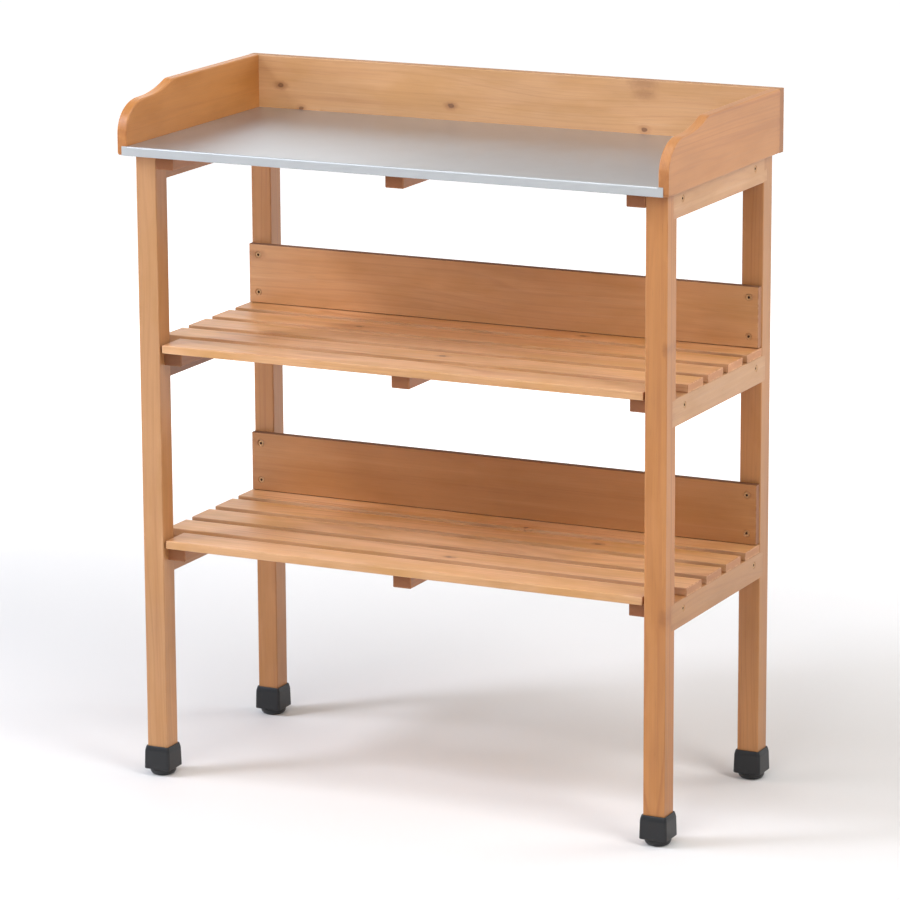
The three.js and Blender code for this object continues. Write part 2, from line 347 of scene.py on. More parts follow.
def knots_and_stains(n, x, y, seeded, given):
    """The knots' hearts and rims, the swirl of the grain round them, and the soft stains."""
    wobble = n.math("MULTIPLY", n.math("SUBTRACT", n.noise(seeded, 170.0), 0.5), 1.1)
    heart = rim = swirl = stain = 0.0
    for i in range(KNOT_SLOTS):
        near, radius = spot_distance(n, x, y, given[f"Knot {i + 1}"], KNOT_SQUASH)
        near = n.math("ADD", near, wobble)
        ring = n.math("MULTIPLY", n.ramp(near, 0.45, 0.85), n.ramp(near, 0.95, 1.45, 1.0, 0.0))
        there = n.math("GREATER_THAN", radius, 10 * LEAST_RADIUS)
        reach = n.math("MULTIPLY", n.ramp(near, 0.9, 4.5, 1.0, 0.0), there)
        heart = n.math("MAXIMUM", heart, n.ramp(near, 0.7, 1.15, 1.0, 0.0))
        rim = n.math("MAXIMUM", rim, ring)
        swirl = n.math("MAXIMUM", swirl, reach)
    for i in range(STAIN_SLOTS):
        near, _ = spot_distance(n, x, y, given[f"Stain {i + 1}"], STAIN_SQUASH)
        near = n.math("ADD", near, n.math("MULTIPLY", wobble, 0.5))
        stain = n.math("MAXIMUM", stain, n.ramp(near, 0.1, 1.0, 1.0, 0.0))
    return heart, rim, swirl, stain


def growth_rings(n, place, seeded, heart, swirl):
    """Late wood as uneven rings about the tree's heart, which wander and bend round knots."""
    slow = n.stretched_noise(seeded, RING_WANDER, 2.0)
    _, y, z = n.split(n.vector("ADD", place, heart))
    radius = n.vector("LENGTH", n.combine(0.0, y, z))
    radius = n.math("ADD", radius, n.math("MULTIPLY", slow, RING_DRIFT))
    radius = n.math("ADD", radius, n.math("MULTIPLY", swirl, RING_BEND))
    rings = n.add("ShaderNodeTexNoise", noise_dimensions="1D")
    n.feed(rings.inputs["W"], radius)
    n.feed(rings.inputs["Scale"], RING_SCALE)
    n.feed(rings.inputs["Detail"], 2.0)
    shown = n.ramp(n.stretched_noise(seeded, RING_PATCHES, 3.0), 0.32, 0.72, 0.15, 1.0)
    return n.math("MULTIPLY", n.ramp(rings.outputs["Fac"], 0.46, 0.72), shown)


def distances_in(n, place, half):
    """How deep the place is inside the board's ends and its narrow faces, and from its nearest edge."""
    sides = zip(n.split(half), n.split(place))
    in_x, in_y, in_z = (n.math("SUBTRACT", size, n.math("ABSOLUTE", part)) for size, part in sides)
    edge_xy = n.math("MAXIMUM", in_x, in_y)
    edge_xz = n.math("MAXIMUM", in_x, in_z)
    edge_yz = n.math("MAXIMUM", in_y, in_z)
    edge = n.math("MINIMUM", edge_xy, n.math("MINIMUM", edge_xz, edge_yz))
    return in_x, in_y, edge


def clear_wood(n, late, streak, honey):
    """The colour of wood without knots, edges or stains."""
    colour = n.show(EARLY_WOOD, LATE_WOOD, late, LATE_SHOWS)
    colour = n.mix(n.ramp(streak, 0.52, 0.80, 0.0, STREAK_SHOWS), colour, LATE_WOOD)
    colour = n.mix(n.ramp(streak, 0.47, 0.22, 0.0, STREAK_SHOWS), colour, PALE_WOOD)
    return n.mix(honey, colour, HONEY_WOOD)


def tinted(n, colour, light, warmth):
    """Multiplies the colour by the light, with green and blue taken away by the warmth."""
    less_green = n.math("SUBTRACT", 1.0, n.math("MULTIPLY", warmth, WARMTH_IN_GREEN))
    less_blue = n.math("SUBTRACT", 1.0, warmth)
    green = n.math("MULTIPLY", light, less_green)
    blue = n.math("MULTIPLY", light, less_blue)
    return n.mix(1.0, colour, n.combine(light, green, blue), "MULTIPLY")


def about_half(n, value, amount):
    """The value's difference from one half, times an amount."""
    return n.math("MULTIPLY", n.math("SUBTRACT", value, 0.5), amount)


def new_wood_group():
    """An empty node group with the inputs and outputs of the wood."""
    tree = bpy.data.node_groups.new("softwood", "ShaderNodeTree")
    for name in VECTOR_INPUTS:
        tree.interface.new_socket(name, in_out="INPUT", socket_type="NodeSocketVector")
    for name in NUMBER_INPUTS:
        tree.interface.new_socket(name, in_out="INPUT", socket_type="NodeSocketFloat")
    tree.interface.new_socket("Color", in_out="OUTPUT", socket_type="NodeSocketColor")
    for name in NUMBER_OUTPUTS:
        tree.interface.new_socket(name, in_out="OUTPUT", socket_type="NodeSocketFloat")
    return tree


def build_wood_group():
    """Softwood in a board's own axes, metres: X along the grain, Y across its face, Z through it."""
    tree = new_wood_group()
    n = Nodes(tree)
    given = n.add("NodeGroupInput").outputs
    place = given["Place"]
    x, y, _ = n.split(place)
    seeded = n.vector("ADD", place, given["Seed"])
    heart, rim, swirl, stain = knots_and_stains(n, x, y, seeded, given)
    late = n.math("MULTIPLY", growth_rings(n, place, seeded, given["Heart"], swirl), given["Lines"])

    # Fibres, short pores, streaks and the patches where the stain went in deeper.
    fibre = n.stretched_noise(seeded, FIBRES, 3.0, 0.6)
    pore = n.ramp(n.stretched_noise(seeded, PORES, 1.0), 0.64, 0.78)
    streak = n.stretched_noise(seeded, STREAKS, 4.0, 0.6)
    blotch = n.stretched_noise(seeded, BLOTCHES, 3.0)
    shifted = n.vector("ADD", n.vector("MULTIPLY", seeded, HONEY_PATCHES), HONEY_SHIFT)
    honey = n.math("MULTIPLY", n.ramp(n.noise(shifted, 1.0, 3.0, 0.6), 0.40, 0.68), given["Honey"])

    # The board's ends, its edges, where the stain is rubbed thin, and its narrow faces, which are darker
    # partly for a sawn finish and partly as painted shade.
    in_x, in_y, edge = distances_in(n, place, given["Half"])
    patchy = n.ramp(n.stretched_noise(seeded, RUBBED_PATCHES, 3.0), 0.38, 0.64)
    rubbed = n.math("MULTIPLY", n.ramp(edge, 0.0004, 0.0024, 1.0, 0.0), patchy)
    end = n.ramp(in_x, 0.0003, 0.0010, 1.0, 0.0)
    near_end = n.math("MULTIPLY", n.ramp(in_x, 0.001, 0.014, 1.0, 0.0), n.ramp(streak, 0.3, 0.7))
    sawn = n.math("MULTIPLY", n.ramp(in_y, 0.0004, 0.0011, 1.0, 0.0), given["Sawn and shade"])

    colour = clear_wood(n, late, streak, honey)
    colour = n.show(colour, LATE_WOOD, near_end, NEAR_END_SHOWS)
    colour = n.show(colour, END_GRAIN, end, n.math("MULTIPLY", given["Ends"], END_SHOWS))
    colour = n.show(colour, PALE_WOOD, rubbed, RUBBED_SHOWS)
    # The narrow faces darken: partly a sawn finish, partly painted shade.
    colour = n.mix(sawn, colour, SAWN_AND_SHADED_FACE)
    colour = n.show(colour, LATE_WOOD, n.ramp(swirl, 0.2, 1.0), SWIRL_SHOWS)
    colour = n.show(colour, STAIN, stain, STAIN_SHOWS)
    colour = n.show(colour, KNOT_HEART, heart, HEART_SHOWS)
    colour = n.show(colour, KNOT_RIM, rim, RIM_SHOWS)
    light = n.math("ADD", about_half(n, fibre, FIBRE_LIGHT), 1.0)
    light = n.math("ADD", light, about_half(n, blotch, BLOTCH_LIGHT))
    light = n.math("SUBTRACT", light, n.math("MULTIPLY", pore, PORE_LIGHT))
    light = n.math("MULTIPLY", light, given["Tone"])
    colour = tinted(n, colour, light, given["Warmth"])

    rough = 0.44
    for cause, amount in ((fibre, 0.14), (end, 0.25), (rubbed, 0.08), (sawn, 0.50)):
        rough = n.math("ADD", rough, n.math("MULTIPLY", cause, amount))
    height = n.math("SUBTRACT", n.math("MULTIPLY", fibre, 0.5), n.math("MULTIPLY", pore, 0.5))
    height = n.math("ADD", height, n.math("MULTIPLY", late, 0.40))
    height = n.math("SUBTRACT", height, n.math("MULTIPLY", rim, 0.8))

    out = n.add("NodeGroupOutput").inputs
    n.feed(out["Color"], colour)
    n.feed(out["Roughness"], rough)
    n.feed(out["Height"], height)
    n.feed(out["Coat"], n.ramp(sawn, 0.0, 0.45, WOOD_COAT, 0.0, "LINEAR"))
    return tree


def seed_shift(seed):
    """Where a board's wood is taken from in the noises."""
    return seed * 0.731, seed * 0.377, seed * 0.593


def heart_line(seed):
    """Where the tree's heart ran past a board, across it and through it."""
    turn = seed * 2.4
    return 0, 0.045 * math.sin(turn), 0.035 + 0.05 * abs(math.cos(turn))


def wood_material(
    name, centre, half, axes, seed,
    tone=1.0, warmth=0.0, honey=0.50, lines=1.0, sawn=0.0, ends=1.0, knots=(), stains=(),
):
    """One board's stained softwood; knots and stains are (along, across, radius) in mm from its middle."""
    material, n, shader = new_material("wood_" + name)
    group = n.add("ShaderNodeGroup", node_tree=WOOD_GROUP)
    parts = n.split(n.vector("SUBTRACT", n.place(), tuple(centre)))
    n.feed(group.inputs["Place"], n.combine(*(parts[axis] for axis in axes)))
    group.inputs["Half"].default_value = half
    group.inputs["Seed"].default_value = seed_shift(seed)
    group.inputs["Heart"].default_value = heart_line(seed)
    for key, value in zip(NUMBER_INPUTS, (tone, warmth, honey, lines, sawn, ends)):
        group.inputs[key].default_value = value
    for kind, spots in (("Knot", knots), ("Stain", stains)):
        for i, spot in enumerate(spots):
            group.inputs[f"{kind} {i + 1}"].default_value = [value * MM for value in spot]
    n.feed(shader.inputs["Base Color"], group.outputs["Color"])
    n.feed(shader.inputs["Roughness"], group.outputs["Roughness"])
    n.feed(shader.inputs["Coat Weight"], group.outputs["Coat"])
    shader.inputs["Coat Roughness"].default_value = WOOD_COAT_ROUGHNESS
    n.bump(shader, group.outputs["Height"], WOOD_BUMP_STRENGTH, WOOD_BUMP)
    return material


# ---------------------------------------------------------------- meshes


def box_of(name):
    """The CAD node's lowest and highest corners."""
    low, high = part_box(name)
    return Vector(low), Vector(high)


def link(name, mesh):
    piece = bpy.data.objects.new(name, mesh)
    bpy.context.scene.collection.objects.link(piece)
    return piece


def finish_mesh(bm, name):
    for face in bm.faces:
        face.smooth = True
    mesh = bpy.data.meshes.new(name)
    bm.to_mesh(mesh)
    bm.free()
    return mesh


def stand_in(piece, name):
    """Lets a piece take the place of the CAD node of that name."""
    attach(piece, "root")
    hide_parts(name)


def keep_faces_flat(piece):
    normals = piece.modifiers.new("flat_faces", "WEIGHTED_NORMAL")
    normals.keep_sharp = True
    normals.weight = 100


def sharpen(piece, above=30):
    """Keeps the corners that aren't rounded crisp, such as a screw hole's rim; the angle is in degrees."""
    bm = bmesh.new()
    bm.from_mesh(piece.data)
    for edge in bm.edges:
        edge.smooth = len(edge.link_faces) == 2 and edge.calc_face_angle(math.pi) < math.radians(above)
    bm.to_mesh(piece.data)
    bm.free()


def ease(bm, edges, offset, segments):
    """Rounds some edges by an offset in millimetres."""
    bmesh.ops.bevel(
        bm, geom=edges, offset=offset * MM, segments=segments, profile=0.5,
        affect="EDGES", clamp_overlap=True,
    )


def join_rings(bm, below, above):
    """Joins two closed loops with as many points, by a band of faces."""
    count = len(below)
    for i in range(count):
        j = (i + 1) % count
        bm.faces.new((below[i], below[j], above[j], above[i]))


def lathe(profile, sides, base, direction):
    """A closed solid of revolution: (radius, height) points from axis to axis, turned to a direction."""
    bm = bmesh.new()
    turns = [2 * math.pi * i / sides for i in range(sides)]
    rings = []
    for radius, height in profile:
        angles = turns if radius > TINY else [0]
        rings.append([bm.verts.new((radius * math.cos(a), radius * math.sin(a), height)) for a in angles])
    for below, above in zip(rings, rings[1:]):
        for i in range(sides):
            j = (i + 1) % sides
            lower = [below[i % len(below)], below[j % len(below)]]
            upper = [above[j % len(above)], above[i % len(above)]]
            corners = list(dict.fromkeys(lower + upper))
            if len(corners) > 2:
                bm.faces.new(corners)
    turn = UP.rotation_difference(direction).to_matrix().to_4x4()
    bmesh.ops.transform(bm, matrix=Matrix.Translation(base) @ turn, verts=bm.verts)
    bmesh.ops.recalc_face_normals(bm, faces=bm.faces)
    return bm


def apply_modifiers(piece):
    graph = bpy.context.evaluated_depsgraph_get()
    finished = piece.evaluated_get(graph)
    mesh = bpy.data.meshes.new_from_object(finished, preserve_all_data_layers=True, depsgraph=graph)
    piece.modifiers.clear()
    piece.data = mesh


def cut(piece, cutter_bm, name):
    """Cuts one solid out of a piece."""
    cutter = link(name, finish_mesh(cutter_bm, name))
    hole = piece.modifiers.new(name, "BOOLEAN")
    hole.operation = "DIFFERENCE"
    hole.solver = "EXACT"
    hole.object = cutter
    apply_modifiers(piece)
    bpy.data.objects.remove(cutter)


# ---------------------------------------------------------------- boards

WANDER_RATE = 9.0


def slice_along(bm, low, high, axis, step):
    """Cuts the board across its length every step, so that its faces can wander a little."""
    count = max(int((high[axis] - low[axis]) / step), 1)
    normal = Vector((0, 0, 0))
    normal[axis] = 1
    for i in range(1, count):
        point = Vector(low)
        point[axis] = low[axis] + (high[axis] - low[axis]) * i / count
        everything = bm.verts[:] + bm.edges[:] + bm.faces[:]
        bmesh.ops.bisect_plane(bm, geom=everything, plane_co=point, plane_no=normal)


def wander(bm, centre, axis, amount, seed):
    """Pulls the faces in by up to amount, so that no board is perfectly straight."""
    for vert in bm.verts:
        along = vert.co[axis] * WANDER_RATE
        for other in range(3):
            if other == axis:
                continue
            side = 1 if vert.co[other] > centre[other] else -1
            drift = noise.noise(Vector((along, seed * 3.7 + other * 5.1, side * 7.3)))
            vert.co[other] -= side * amount * (0.5 + 0.5 * drift)


def wooden_piece(name, bm, axes, look, screws=()):
    """Makes a wooden piece of a finished shape, with its screw holes cut, in place of the CAD node."""
    low, high = box_of(name)
    half = tuple((high[axis] - low[axis]) / 2 for axis in axes)
    piece = link("wood_" + name, finish_mesh(bm, name))
    countersink(piece, screws)
    piece.data.materials.append(wood_material(name, (low + high) / 2, half, axes, **look))
    sharpen(piece)
    keep_faces_flat(piece)
    stand_in(piece, name)


def board(name, axes, look, edge=1.4, end=0.7, screws=(), step=0.03, drift=0.12):
    """A board sliced every step metres, with its edges and ends eased and its faces drifting, in mm."""
    low, high = box_of(name)
    size = high - low
    centre = (low + high) / 2
    along = axes[0]
    bm = bmesh.new()
    bmesh.ops.create_cube(bm, size=1, matrix=Matrix.Translation(centre) @ Matrix.Diagonal((*size, 1)))
    long_edges = [e for e in bm.edges if abs(e.verts[0].co[along] - e.verts[1].co[along]) > TINY]
    ease(bm, long_edges, edge, 4)

    def at_an_end(vert):
        return abs(abs(vert.co[along] - centre[along]) - size[along] / 2) < TINY

    rims = [e for e in bm.edges if all(at_an_end(vert) for vert in e.verts)]
    ease(bm, rims, end, 3)
    slice_along(bm, low, high, along, step)
    wander(bm, centre, along, drift * MM, look["seed"])
    wooden_piece(name, bm, axes, look, screws)


# ---------------------------------------------------------------- screws

SCREW_SINK = 0.0005
# Sections of the hole and of the screw's head, as (radius, height) from the wood's face and the head's.
COUNTERSINK = [
    (0, -0.0045), (0.0022, -0.0045), (0.0022, -0.0033), (0.0043, -0.0010), (0.0046, -0.0004),
    (0.0052, 0.0002), (0.0052, 0.0020), (0, 0.0020),
]
COUNTERSINK_SIDES = 40
HEAD_PROFILE = [(0.0020, -0.0025), (0.0038, -0.00035), (0.0040, -0.0002), (0.0039, 0), (0, 0)]
HEAD_SIDES = 32
SHANK_RADIUS = 0.0019
SHANK_TOP = -0.0034
TIP_LENGTH = 0.005

RECESS_LENGTH = 0.0050
RECESS_WIDTH = 0.0013
RECESS_DEPTH = 0.0024
# How long and wide the bottom of a recess's blade is, as shares of its top.
BLADE_LENGTH_TAPER = 0.40
BLADE_WIDTH_TAPER = 0.75
# The angle and depth of each blade. The second is a little shallower, so that they never share a plane.
RECESS_BLADES = ((0.07, RECESS_DEPTH), (0.07 + math.pi / 2, RECESS_DEPTH * 0.93))
RECESS_PIT = [(0, -0.0026), (0.0012, -0.0022), (0.0019, 0.0004), (0, 0.0004)]
PIT_SIDES = 16
# Faces of the recess are those between these heights and this near the screw's axis.
RECESS_TOP = -0.0001
RECESS_FLOOR = -RECESS_DEPTH * 1.2
RECESS_REACH = 0.0027


def screw_place(name):
    """The middle of a screw's head on the wood's face, the way that it looks, and the screw's length."""
    low, high = box_of(name)
    centre = (low + high) / 2
    if "_rail_" in name:
        facing = Vector((1 if centre.x > 0 else -1, 0, 0))
        face = high.x if centre.x > 0 else low.x
        return Vector((face, centre.y, centre.z)), facing, high.x - low.x
    return Vector((centre.x, low.y, centre.z)), Vector((0, -1, 0)), high.y - low.y


def countersink(piece, screws):
    """Cuts the screws' holes out of a board."""
    for name in screws:
        head, facing, _ = screw_place(name)
        hole = lathe(COUNTERSINK, COUNTERSINK_SIDES, head + facing * SCREW_SINK, facing)
        cut(piece, hole, "hole_" + name)


def cross_blade(angle, depth):
    """One of the two blades of a cross recess, narrower towards its bottom."""
    blade = bmesh.new()
    size = Matrix.Diagonal((RECESS_LENGTH, RECESS_WIDTH, depth * 2, 1))
    bmesh.ops.create_cube(blade, size=1, matrix=size)
    for vert in blade.verts:
        if vert.co.z < 0:
            vert.co.x *= BLADE_LENGTH_TAPER
            vert.co.y *= BLADE_WIDTH_TAPER
    bmesh.ops.transform(blade, matrix=Matrix.Rotation(angle, 4, "Z"), verts=blade.verts)
    return blade


def add_screw(name, metal, recess_shade):
    """A countersunk screw with a cross recess, turned a different way on each, with painted shade on the
    faces of its recess.
    """
    head, facing, length = screw_place(name)
    shank = [(0, -length), (SHANK_RADIUS, -length + TIP_LENGTH), (SHANK_RADIUS, SHANK_TOP)]
    piece = link("zinc_" + name, finish_mesh(lathe(shank + HEAD_PROFILE, HEAD_SIDES, ORIGIN, UP), name))
    for angle, depth in RECESS_BLADES:
        cut(piece, cross_blade(angle, depth), "recess")
    cut(piece, lathe(RECESS_PIT, PIT_SIDES, ORIGIN, UP), "pit")
    sharpen(piece)
    piece.data.materials.clear()
    piece.data.materials.append(metal)
    # The second material is painted shade, a near-black brown for the faces of the recess.
    piece.data.materials.append(recess_shade)
    for face in piece.data.polygons:
        middle = face.center
        in_recess = RECESS_FLOOR < middle.z < RECESS_TOP and middle.xy.length < RECESS_REACH
        face.material_index = 1 if in_recess else 0
    lie = UP.rotation_difference(facing).to_matrix().to_4x4()
    turn = Matrix.Rotation(noise.noise(head * 40) * math.pi, 4, "Z")
    piece.data.transform(Matrix.Translation(head) @ lie @ turn)
    stand_in(piece, name)


def screw_material(name, dark, bright):
    """Dulled yellow zinc, or the dark painted shade in the screws' recesses."""
    material, n, shader = new_material(name)
    dull = n.noise(n.place(), 700.0, 3.0)
    n.feed(shader.inputs["Base Color"], n.mix(n.ramp(dull, 0.3, 0.7), dark, bright))
    n.feed(shader.inputs["Roughness"], n.ramp(dull, 0.3, 0.7, 0.38, 0.60))
    shader.inputs["Metallic"].default_value = 0.3
    return material


# ---------------------------------------------------------------- tray

# The side boards' outline: a quarter round in front, a hollow sweep up and a small shoulder.
ROUND_Y = 0.05225
ROUND_Z = 0.041
ROUND_CENTRE_Z = 0.0285
ROUND_STEPS = 16
SWEEP_LENGTH = 0.069
SWEEP_BEND = 0.037
SWEEP_STEPS = 8
SHOULDER_LENGTH = 0.012
SHOULDER_BEND = 0.005
SHOULDER_DROP = 0.0025
TOE_RADIUS = 0.004
TOE_STEPS = 4


def bent_line(start, bend, end):
    """The points after the start of a curve that leaves it towards a bend and reaches an end."""
    points = []
    for i in range(1, SWEEP_STEPS + 1):
        t = i / SWEEP_STEPS
        weights = ((1 - t) ** 2, 2 * t * (1 - t), t * t)
        y, z = (sum(w * p[k] for w, p in zip(weights, (start, bend, end))) for k in range(2))
        points.append((y, z))
    return points


def quarter_turn(centre, radii, start, steps):
    """The points after the start of a quarter of an ellipse."""
    angles = [start + math.pi / 2 * i / steps for i in range(1, steps + 1)]
    return [(centre[0] + radii[0] * math.cos(a), centre[1] + radii[1] * math.sin(a)) for a in angles]


def side_board_outline(low, high):
    """The side board's outline as (y, z) points, from its back corner up and forward to the toe."""
    centre_z = low.z + ROUND_CENTRE_Z
    crest = centre_z + ROUND_Z
    round_end = low.y + ROUND_Y
    shoulder = round_end + SWEEP_LENGTH
    top = (shoulder + SHOULDER_LENGTH, high.z)
    rise = (shoulder, high.z - SHOULDER_DROP)
    points = [(high.y, low.z), (high.y, high.z), top]
    points += bent_line(top, (shoulder + SHOULDER_BEND, high.z), rise)
    points += bent_line(rise, (round_end + SWEEP_BEND, crest), (round_end, crest))
    points += quarter_turn((round_end, centre_z), (ROUND_Y, ROUND_Z), math.pi / 2, ROUND_STEPS)
    points.append((low.y, low.z + TOE_RADIUS))
    toe = (low.y + TOE_RADIUS, low.z + TOE_RADIUS)
    points += quarter_turn(toe, (TOE_RADIUS, TOE_RADIUS), math.pi, TOE_STEPS)
    return points


def tray_side(name, look, edge=1.8):
    """A side board of the tray, with the rims of both its faces eased, except against the back board."""
    low, high = box_of(name)
    outline = side_board_outline(low, high)
    bm = bmesh.new()
    near = [bm.verts.new((low.x, y, z)) for y, z in outline]
    far = [bm.verts.new((high.x, y, z)) for y, z in outline]
    bm.faces.new(near)
    bm.faces.new(list(reversed(far)))
    join_rings(bm, near, far)
    bmesh.ops.recalc_face_normals(bm, faces=bm.faces)

    def is_rim(e):
        across = abs(e.verts[0].co.x - e.verts[1].co.x) > TINY
        at_back = all(vert.co.y > high.y - TINY for vert in e.verts)
        return not across and not at_back

    ease(bm, [e for e in bm.edges if is_rim(e)], edge, 4)
    wooden_piece(name, bm, ALONG_Y_UPRIGHT, look)


# ---------------------------------------------------------------- galvanised sheet

SHEET_THICKNESS = 0.00075
FOLD_RADIUS = 0.0022
FOLD_STEPS = 8
HEM_STEPS = 6
SHEET_GAP = 0.00025
SHEET_STEPS = 24
# The spacing of the points that give the section of the lip's ends as many as the other has.
FILLER_STEP = 1e-5

# Galvanised steel's colours, linear: the darkest and lightest spangles, cloudy patches and the lip.
DARK_SPANGLE = (0.505, 0.515, 0.520, 1)
LIGHT_SPANGLE = (0.530, 0.540, 0.545, 1)
CLOUDY = (0.575, 0.580, 0.580, 1)
LIP_COLOUR = (0.540, 0.548, 0.542, 1)
SPANGLE_SCALE = 85.0
SPANGLE_BEND = 0.006
LIP_ROUGHER = 0.16


def sheet_material(front):
    """Galvanised steel with faint spangles, duller on the lip, whose front face is at that Y."""
    material, n, shader = new_material("galvanised")
    place = n.place()
    cells = n.add("ShaderNodeTexVoronoi", feature="F1")
    bent = n.vector("ADD", place, n.vector("SCALE", n.noise_vector(place, 30.0), scale=SPANGLE_BEND))
    n.feed(cells.inputs["Vector"], bent)
    cells.inputs["Scale"].default_value = SPANGLE_SCALE
    spangle = n.split(cells.outputs["Color"])[0]
    cloud = n.noise(place, 5.0, 4.0)
    fine = n.noise(place, 1400.0, 2.0)
    lip = n.ramp(n.split(place)[1], front + 0.0006, front + 0.0030, 1.0, 0.0)
    colour = n.mix(n.ramp(spangle, 0.0, 1.0), DARK_SPANGLE, LIGHT_SPANGLE)
    colour = n.mix(n.ramp(cloud, 0.35, 0.7, 0.0, 0.5), colour, CLOUDY)
    n.feed(shader.inputs["Base Color"], n.mix(lip, colour, LIP_COLOUR))
    rough = n.math("ADD", n.ramp(spangle, 0.0, 1.0, 0.34, 0.37), n.math("MULTIPLY", cloud, 0.04))
    rough = n.math("ADD", rough, n.math("MULTIPLY", lip, LIP_ROUGHER))
    n.feed(shader.inputs["Roughness"], rough)
    shader.inputs["Metallic"].default_value = 0.92
    height = n.math("ADD", n.math("MULTIPLY", spangle, 0.6), n.math("MULTIPLY", fine, 0.4))
    n.bump(shader, height, 0.08, 0.0002)
    return material


def arc_points(centre_y, centre_z, radius, angles):
    return [(centre_y + radius * math.cos(a), centre_z + radius * math.sin(a)) for a in angles]


def sheet_profiles(low, high):
    """Two sections of the sheet, as (y, z) points: through the plate and its folded lip, and through
    the lip's ends, which lap over the side boards."""
    back, front, top, bottom = high.y, low.y, high.z, low.z
    thick = SHEET_THICKNESS
    soft = thick / 2
    turn = [math.pi / 2 * (1 + i / FOLD_STEPS) for i in range(FOLD_STEPS + 1)]
    fold_y = front + FOLD_RADIUS
    fold_z = top - FOLD_RADIUS
    outer = arc_points(fold_y, fold_z, FOLD_RADIUS, turn)
    inner = arc_points(fold_y, fold_z, FOLD_RADIUS - thick, reversed(turn))
    hem = [math.pi * (1 + i / HEM_STEPS) for i in range(HEM_STEPS + 1)]
    foot = arc_points(front + soft, bottom + soft, soft, hem)
    through = [(back, top)] + outer + foot + inner + [(back, top - thick)]
    lip_top = arc_points(front + soft, top - soft, soft, turn)
    filler = [(front + thick, top - soft - i * FILLER_STEP) for i in reversed(range(FOLD_STEPS + 1))]
    ends = [(front + soft, top)] + lip_top + foot + filler + [(front + thick, top - soft)]
    return through, ends


def metal_sheet(name):
    """The work top: the plate between the side boards and, wider than it, the lip in front."""
    low, high = box_of(name)
    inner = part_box("tray_side_right")[0][0] - SHEET_GAP
    through, ends = sheet_profiles(low, high)
    stations = [(low.x, ends), (-inner, ends), (-inner, through)]
    stations += [(-inner + 2 * inner * i / SHEET_STEPS, through) for i in range(1, SHEET_STEPS)]
    stations += [(inner, through), (inner, ends), (high.x, ends)]
    bm = bmesh.new()
    rings = [[bm.verts.new((x, y, z)) for y, z in section] for x, section in stations]
    for left, right in zip(rings, rings[1:]):
        join_rings(bm, left, right)
    bm.faces.new(rings[0])
    bm.faces.new(list(reversed(rings[-1])))
    bmesh.ops.remove_doubles(bm, verts=bm.verts, dist=TINY)
    bmesh.ops.dissolve_degenerate(bm, edges=bm.edges, dist=TINY)
    bmesh.ops.recalc_face_normals(bm, faces=bm.faces)
    piece = link("sheet_" + name, finish_mesh(bm, name))
    piece.data.materials.append(sheet_material(low.y))
    keep_faces_flat(piece)
    stand_in(piece, name)


# ---------------------------------------------------------------- foot caps

CAP_BLACK = (0.012, 0.0125, 0.0135, 1)
CAP_DUST = (0.075, 0.074, 0.071, 1)
CAP_BOTTOM = 0.009
SOCKET_HALF = 0.01530
SOCKET_FLOOR = 0.0035
CORNER_STEPS = 6
# The sleeve's outside as (how far inside its widest, corner radius, height), with the heights from its
# bottom and then from its top.
SLEEVE_FOOT = [
    (0.0012, 0.0030, 0.0), (0.0003, 0.0037, 0.0004), (0.0, 0.0040, 0.0014), (0.0001, 0.0040, 0.0040),
]
SLEEVE_TOP = [
    (0.0006, 0.0040, -0.0075), (0.0009, 0.0039, -0.0055), (0.0018, 0.0033, -0.0022),
    (0.0024, 0.0028, -0.0006), (0.0029, 0.0023, 0.0),
]
# The round pad, a shallow dome with a groove under the sleeve, as (radius, height).
PAD_PROFILE = [
    (0, 0), (0.0112, 0), (0.0126, 0.0002), (0.0145, 0.0010), (0.0161, 0.0025), (0.0171, 0.0044),
    (0.0175, 0.0062), (0.0175, 0.0081), (0.0172, 0.0086), (0.0166, 0.0088), (0.0166, 0.0094), (0, 0.0094),
]
PAD_SIDES = 64


def cap_material():
    """Black plastic with a fine grain, scuffed and dusty, most near the floor."""
    material, n, shader = new_material("black_plastic")
    place = n.place()
    grain = n.noise(place, 2600.0, 2.0)
    scuff = n.ramp(n.stretched_noise(place, (90.0, 90.0, 260.0), 5.0, 0.7), 0.56, 0.74)
    dust = n.math("MULTIPLY", scuff, n.ramp(n.split(place)[2], 0.006, 0.03, 1.0, 0.35))
    n.feed(shader.inputs["Base Color"], n.show(CAP_BLACK, CAP_DUST, dust, 0.35))
    n.feed(shader.inputs["Roughness"], n.math("ADD", 0.34, n.math("MULTIPLY", grain, 0.14)))
    n.bump(shader, grain, 0.25, 0.0002)
    return material


def rounded_square(half, corner, z, centre):
    points = []
    for quarter in range(4):
        middle = (quarter + 0.5) * math.pi / 2
        x = centre.x + math.copysign(half - corner, math.cos(middle))
        y = centre.y + math.copysign(half - corner, math.sin(middle))
        for i in range(CORNER_STEPS + 1):
            angle = (quarter + i / CORNER_STEPS) * math.pi / 2
            points.append((x + corner * math.cos(angle), y + corner * math.sin(angle), z))
    return points


